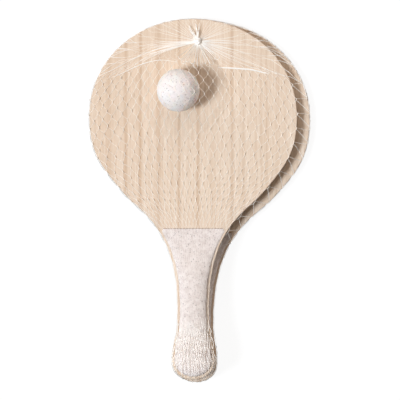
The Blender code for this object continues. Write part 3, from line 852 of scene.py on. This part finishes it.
loopLook = {
    "count": 11, "angles": (226, 322), "angleStray": 2.5, "reach": 0.0262, "reachStray": 0.1,
    # share of the reach at which the eye begins, and the power by which the two runs part
    "runTo": 0.96, "parting": 1.4, "runSteps": 10, "eyeSteps": 13,
    "width": 0.0022, "lift": 0.0004, "wave": 0.0006, "waveStep": 0.7,
}


def slackLoops(half):
    # yarn that hangs from the knot to the fold, turns in a small eye and runs back
    low, high = loopLook["angles"]
    count, width = loopLook["count"], loopLook["width"]
    turn = np.linspace(-math.pi / 2, math.pi / 2, loopLook["eyeSteps"])
    paths = []
    for k in range(count):
        angle = math.radians(low + (high - low) * k / (count - 1) + loopLook["angleStray"] * scatter(k, 2.3))
        reach = loopLook["reach"] * (1 + loopLook["reachStray"] * scatter(k, 1.9))
        eye = np.c_[reach + width * np.cos(turn), width * np.sin(turn)]
        run = np.linspace(netLook["knotRing"], reach * loopLook["runTo"], loopLook["runSteps"])
        out = np.c_[run, -width * (run / reach) ** loopLook["parting"]]
        shape = np.r_[out, eye, out[::-1] * (1, -1)]
        spin = np.array(((math.cos(angle), math.sin(angle)), (-math.sin(angle), math.cos(angle))))
        path = foldRound(half, shape @ spin + knotLocal[:2])
        lift = loopLook["lift"] + loopLook["wave"] * np.sin(np.arange(len(shape)) * loopLook["waveStep"] + k)
        paths.append(path + half.up * lift[:, None])
    return paths


def foldEdges(half):
    # the yarns of one row that lie along the fold, where the net doubles over
    line = np.array(netLook["foldLine"])
    reach = netLook["edgeSmooth"]
    window = 2 * reach + 1
    paths = []
    for low, high, count in netLook["foldEdges"]:
        x = np.linspace(low, high, netLook["edgeSteps"])
        y = half.loop[:, 1].max() - np.interp(x, line[:, 0], line[:, 1])
        y = np.convolve(np.pad(y, reach, 'edge'), np.ones(window) / window, 'valid')
        y = y - netLook["foldBack"] * netLook["edgeBack"]
        for k in range(count):
            side = (k - (count - 1) / 2) * 2 * netLook["strand"]
            path = foldRound(half, np.c_[x, y + side])
            paths.append(path + half.up * (netLook["foldRidge"] - abs(side) / 2))
    return paths


def frontYarns():
    # the yarns from the foot to the knot, and those that come over the tips
    half = FrontHalf(upper, lower, upper["place"], upper["face"] + netLook["lift"])
    grid, overTip = bodyGrid(half)
    bendToFold(half, grid)
    grid[:-1] = swayed(half, grid[:-1])
    unevenRows(grid)
    overTip[0], overTip[-1] = grid[-1][0], grid[-1][-1]
    ridgeAt, ridgeWidth = netLook["foldRidgeAt"]
    paths, tipPaths = [], []
    for yarn in range(yarnCount):
        column, row = zigzag(yarn, 0, rowCount)
        fanColumn, fanRow = zigzag(yarn, rowCount, rowCount + netLook["fanRows"])
        inner = fanSpots(grid[-1], yarn, fanColumn, fanRow, netLook["foldBack"], netLook["foldBundles"])
        path = foldRound(half, np.r_[drawnTogether(gridSpot(grid, column, row)[:-1]), inner])
        ridge = np.exp(-((np.r_[row[:-1], fanRow] - rowCount - ridgeAt) / ridgeWidth) ** 2)
        path[:, 2] += netLook["foldRidge"] * ridge
        path[:len(row)] += half.up * jointRise(row)[:, None]
        paths.append(path)
        overIn = fanSpots(overTip, yarn, fanColumn, fanRow, 0.0, netLook["tipBundles"])
        tipPaths.append(foldRound(half, overIn))
    groups = ((paths[1:-1], yarnWidth), ((paths[0], paths[-1]), sideWidth), (tipPaths, tipWidth),
              (slackLoops(half), loopWidth), (foldEdges(half), edgeWidth))
    return paths, tipPaths, groups


def meetFront(path, yarn, column, row, front, tip):
    # draws a rear yarn to the front one that it meets at the foot, the tips or the sides
    last = yarnCount - 1
    atFoot, atTip = np.clip(1 - row, 0, 1)[:, None], np.clip(row - rowCount + 1, 0, 1)[:, None]
    shift = atFoot * (front[0] - path[0]) + atTip * (tip[0] - path[-1])
    if yarn in (0, last):
        atSide = np.clip(np.maximum(1 - column, column - last), 0, 1)[:, None]
        meets = np.arange(0, rowCount + 1, 2)
        spots = meets * len(netLook["stepsAt"])
        gaps = (front[spots] - path[spots]).T
        shift = shift * (1 - atSide) + np.stack([np.interp(row, meets, gap) for gap in gaps], axis=1) * atSide
    return path + shift


def rearYarns(fronts, tips):
    half = NetHalf(lower, upper, Matrix.Identity(4), netLook["floor"])
    grid, overTip = bodyGrid(half)
    rise = overTip - grid[-1]
    for j in range(rowCount + 1):
        grid[j] += rise * (j / rowCount) ** 2
    paths = []
    for yarn in range(yarnCount):
        column, row = zigzag(yarn, 0, rowCount)
        path = foldRound(half, gridSpot(grid, column, row))
        paths.append(meetFront(path, yarn, column, row, fronts[yarn], tips[yarn]))
    return paths, ((paths[1:-1], None), ((paths[0], paths[-1]), sideWidth))


def netPlastic(name, kind):
    material, tree, shader = startMaterial(name)
    coords = addNode(tree, "TexCoord", {}).outputs["Object"]
    patches = noiseNode(tree, coords, netLook["patchScale"], 2.0)
    colour = mixColour(tree, patches, *netLook[kind + "Colours"])
    paint(tree, shader, colour, netLook["roughness"])
    # the thin pale yarn lets part of the lamps' light through, and a fused joint less of it
    passed = addNode(tree, "BsdfTransparent", {"Color": (*netLook[kind + "Clear"], 1.0)})
    rayShaders(tree, "Is Shadow Ray", shader, passed)
    return material


netYarn = netPlastic("white_net_yarn", "yarn")
netJoint = netPlastic("white_net_joint", "joint")


def fusedJoints(paths, firstRow, lastRow):
    # a small drop along the yarns where two of them are fused
    steps = len(netLook["stepsAt"])
    shortest, longer = netLook["jointVaries"]
    run = np.linspace(-1, 1, netLook["jointSteps"])[:, None]
    drops = []
    for yarn, path in enumerate(paths):
        for j in range(firstRow + (firstRow + 1 + yarn) % 2, lastRow, 2):
            along = path[j * steps + 1] - path[j * steps - 1]
            length = netLook["jointLength"] * (shortest + longer * abs(math.sin(yarn * 12.9 + j * 4.1)))
            drop = path[j * steps] + run * along / np.linalg.norm(along) * length / 2
            drop[:, 2] = np.maximum(drop[:, 2], netLook["jointThick"] / 2)
            drops.append(drop)
    return drops


def joinMeshes(meshes):
    bm = bmesh.new()
    for mesh in meshes:
        bm.from_mesh(mesh)
        bpy.data.meshes.remove(mesh)
    return meshFrom(bm)


def eased(low, high, share):
    return between(low, high, float(smooth(share)))


def past(share, place):
    # how far a spot on a yarn lies past a place where its width changes
    start, span = netLook[place]
    return (share - start) / span


def yarnWidth(share):
    # thin along the handle and thick where yarns run together
    body = eased(netLook["onBlade"], netLook["onGrip"], -past(share, "gripEnds"))
    atButt = smooth(-past(share, "buttEnds")) * smooth(share / netLook["buttEnds"][1])
    body += (netLook["atButt"] - netLook["onGrip"]) * float(atButt)
    fan = eased(netLook["inFan"], netLook["fanAtKnot"], past(share, "knotNears"))
    return eased(body, fan, past(share, "fanStarts"))


def sideWidth(share):
    return eased(netLook["onGrip"], netLook["atSide"], past(share, "sideStarts"))


def tipWidth(share):
    onWay = netLook["tipOnWay"]
    atRim = (netLook["tipAtRim"] - onWay) * smooth(1 - share / netLook["rimFades"])
    return float(onWay + (netLook["tipAtKnot"] - onWay) * share * share + atRim)


def loopWidth(share):
    return netLook["inLoops"]


def edgeWidth(share):
    ends, more = netLook["foldEdge"]
    return float(more * np.sin(share * math.pi) ** 0.5) + ends


def dropWidth(share):
    return between(netLook["jointTip"], 1, math.sqrt(max(0.0, 1 - (2 * share - 1) ** 2)))


def addNet(name, paths, groups, stoodFor):
    radius, dropRadius = netLook["strand"] / 2, netLook["jointThick"] / 2
    yarns = [tubes(group, radius, 1, width, netLook["strandFlat"]) for group, width in groups]
    onBlade = fusedJoints(paths, netLook["bladeFrom"], rowCount)
    atButt = fusedJoints(paths, 1, netLook["buttTo"])
    drops = [tubes(onBlade, dropRadius, 1, dropWidth),
             tubes(atButt, netLook["jointThick"] * netLook["buttShare"] / 2, 1, dropWidth)]
    joints = name + "_joints"
    sharp = netLook["sharpFrom"]
    pieces = [addPiece(name, joinMeshes(yarns), netYarn, None, [stoodFor], sharp),
              addPiece(joints, joinMeshes(drops), netJoint, None, (), sharp)]
    for piece in pieces:
        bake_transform(piece)


frontPaths, tipPaths, frontGroups = frontYarns()
addNet("net_front", frontPaths, frontGroups, "net_upper_half")
addNet("net_rear", *rearYarns(frontPaths, tipPaths), "net_lower_half")
print("net folded round the stack")


# knot: the gathered net tied on itself, with short tails

knotLook = {
    "strand": 0.0015, "loop": 0.00095, "height": 0.0012, "points": 60,
    "core": 0.0026, "coreRise": 0.0008, "coreSteps": 9,
    "ends": 22, "endStrand": 0.0003, "endSteps": 14, "endAngles": (92, 122), "endSpread": 6,
    "endLength": 0.019, "endVaries": 0.22, "endLift": 0.0018, "endSink": 0.0012, "endStray": 0.0006,
    "endWave": 0.0009, "endWaves": 5,
}


def tiedKnot():
    turn = [2 * math.pi * k / knotLook["points"] for k in range(knotLook["points"] + 1)]
    size = knotLook["loop"]
    loop = [(size * (math.sin(t) + 2 * math.sin(2 * t)), size * (math.cos(t) - 2 * math.cos(2 * t)),
             -knotLook["height"] * math.sin(3 * t)) for t in turn]
    tied = tubes([toRow(upper["place"], np.array(loop) + knotLocal)], knotLook["strand"], 2)
    middle = np.linspace(-1, 1, knotLook["coreSteps"])[:, None] * (knotLook["core"], -knotLook["core"] / 3, 0)
    middle = toRow(upper["place"], middle + knotLocal + (0, 0, knotLook["coreRise"]))
    return joinMeshes([tied, tubes([middle], knotLook["core"], 2, dropWidth)])


def looseEnds():
    # yarn ends past the knot, in two tufts that lie on the blade
    low, high = knotLook["endAngles"]
    varies = knotLook["endVaries"]
    share = np.linspace(0.0, 1.0, knotLook["endSteps"])
    paths = []
    for k in range(knotLook["ends"]):
        tuft = low if k % 2 else high
        angle = math.radians(tuft + knotLook["endSpread"] * scatter(k, 2.4))
        length = knotLook["endLength"] * (1 - varies + varies * math.cos(k * 1.7))
        wave = knotLook["endWave"] * np.sin(share * knotLook["endWaves"] + k * 1.3) * share
        x = np.cos(angle) * length * share - np.sin(angle) * wave
        y = np.sin(angle) * length * share + np.cos(angle) * wave
        lift = knotLook["endLift"] * np.sin(share * math.pi) - knotLook["endSink"] * share
        lift = lift + knotLook["endStray"] * scatter(k, 3.1) * share
        paths.append(toRow(upper["place"], np.c_[x, y, lift] + knotLocal))
    return tubes(paths, knotLook["endStrand"])


addPiece("knot_loose_ends", looseEnds(), netYarn, "upper_paddle")
addPiece("net_knot_tied", tiedKnot(), netYarn, "upper_paddle", ["net_knot"],
         netLook["sharpFrom"])
print("knot tied")


# floor, light and camera

stageLook = {
    "floorSize": 8.0, "floorDrop": 0.0002, "floorGlow": 0.925,
    "floorLit": (0.11, 0.11, 0.11, 1), "floorBounce": (0.4, 0.4, 0.4, 1),
    # where each lamp stands, how wide it is in degrees, its strength and its tint
    "key": ((-7.4, -2.1, 10.7), 15.0, 2.9, (0.89, 0.94, 1.0)),
    "softbox": ((-2.2, 8.0, 5.4), 90.0, 1.46, (1.0, 0.87, 0.77)),
    "fill": ((8.0, 1.0, 1.7), 60.0, 0.78, (1.0, 0.87, 0.77)),
    "lampAway": 2.0, "skyColour": (1.0, 0.9, 0.82), "skyStrength": 0.03,
    "cameraAt": 6.0, "viewWidth": 0.421, "plane": 0.022,
}


def paleFloor():
    bm = bmesh.new()
    bmesh.ops.create_grid(bm, x_segments=1, y_segments=1, size=stageLook["floorSize"] / 2)
    bmesh.ops.translate(bm, verts=bm.verts[:], vec=(0, 0, -stageLook["floorDrop"]))
    mesh = meshFrom(bm)
    material, tree, shader = startMaterial("floor_white")
    glow = addNode(tree, "Emission", {"Color": (1, 1, 1, 1), "Strength": stageLook["floorGlow"]})
    faint = addNode(tree, "BsdfDiffuse", {"Color": stageLook["floorLit"]})
    plain = addNode(tree, "BsdfDiffuse", {"Color": stageLook["floorBounce"]})
    both = addNode(tree, "AddShader", {0: glow.outputs[0], 1: faint.outputs[0]})
    rayShaders(tree, "Is Camera Ray", plain, both)
    tree.nodes.remove(shader)
    mesh.materials.append(material)
    floor = addObject("floor", mesh)


def softLight():
    for name in ("key", "softbox", "fill"):
        stand, wide, strength, tint = stageLook[name]
        lamp = bpy.data.lights.new(name, 'SUN')
        lamp.angle = math.radians(wide)
        lamp.energy = strength
        lamp.color = tint
        shone = addObject(name, lamp)
        way = Vector(stand).normalized()
        shone.location = way * stageLook["lampAway"]
        shone.rotation_euler = way.to_track_quat('Z', 'Y').to_euler()
    world = bpy.data.worlds.new("studio")
    bpy.context.scene.world = world
    world.use_nodes = True
    tree = world.node_tree
    seen = addNode(tree, "LightPath", {}).outputs["Is Camera Ray"]
    sky = tree.nodes["Background"]
    setInputs(tree, sky, {"Color": mixColour(tree, seen, stageLook["skyColour"], (1.0, 1.0, 1.0)),
                          "Strength": rangeNode(tree, seen, 0.0, 1.0, stageLook["skyStrength"], 1.0)})


def photoCamera():
    data = bpy.data.cameras.new("camera")
    data.sensor_width = 36.0
    data.lens = data.sensor_width * (stageLook["cameraAt"] - stageLook["plane"]) / stageLook["viewWidth"]
    camera = addObject("camera", data)
    camera.location = (0, 0, stageLook["cameraAt"])
    bpy.context.scene.camera = camera


paleFloor()
softLight()
photoCamera()
bpy.context.scene.view_settings.view_transform = 'Standard'
print("stage set")
